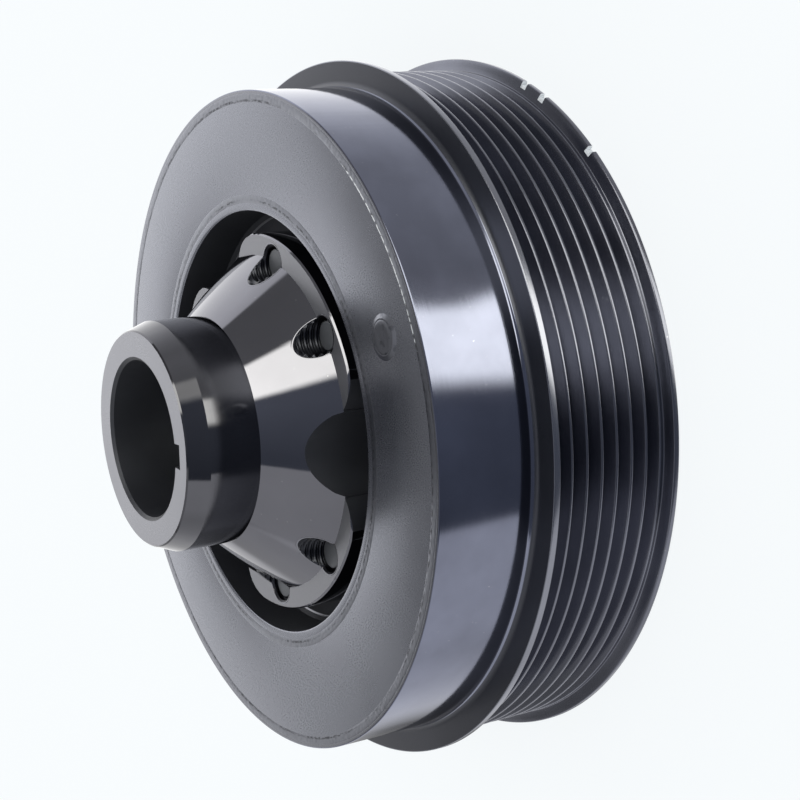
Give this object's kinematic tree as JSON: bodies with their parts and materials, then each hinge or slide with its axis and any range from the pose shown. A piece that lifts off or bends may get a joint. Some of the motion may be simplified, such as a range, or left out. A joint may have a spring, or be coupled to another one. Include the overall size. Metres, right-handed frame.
{
  "type": "harmonic balancer",
  "caption": "Black viscous crankshaft damper with a multi-rib belt pulley, a lobed conical hub with a bored snout, and a sealed inertia ring.",
  "frame": {"origin": "centre of the pulley's front face, on the turning axis", "axes": "+Z along the turning axis towards the snout, so the part stands on its front face; +X is 50 degrees before the middle of the first hub lobe"},
  "size_m": [0.1512, 0.1512, 0.0784],
  "materials": {
    "black_steel": "gloss",
    "cover_steel": "satin",
    "weld": "rough",
    "plug_steel": "satin",
    "ring_iron": "machined",
    "bearing_bronze": "satin",
    "hub_steel": "polished",
    "screw_steel": "satin"
  },
  "bodies": {
    "damper": {"housing": "black_steel", "cover_plate": "cover_steel", "weld_outer": "weld", "weld_inner": "weld", "filler_plug": "plug_steel", "hub": "hub_steel", "hub_screw_1": "screw_steel", "hub_screw_2": "screw_steel", "hub_screw_3": "screw_steel", "hub_screw_4": "screw_steel", "hub_screw_5": "screw_steel", "hub_screw_6": "screw_steel"},
    "inertia_mass": {"inertia_ring": "ring_iron", "bearing_front": "bearing_bronze", "bearing_back": "bearing_bronze"}
  },
  "joints": [
    {"name": "inertia_ring_turn", "type": "hinge", "parent": "damper", "child": "inertia_mass", "pos_m": [0, 0, 0.026], "axis": [0, 0, 1], "continuous": true}
  ]
}
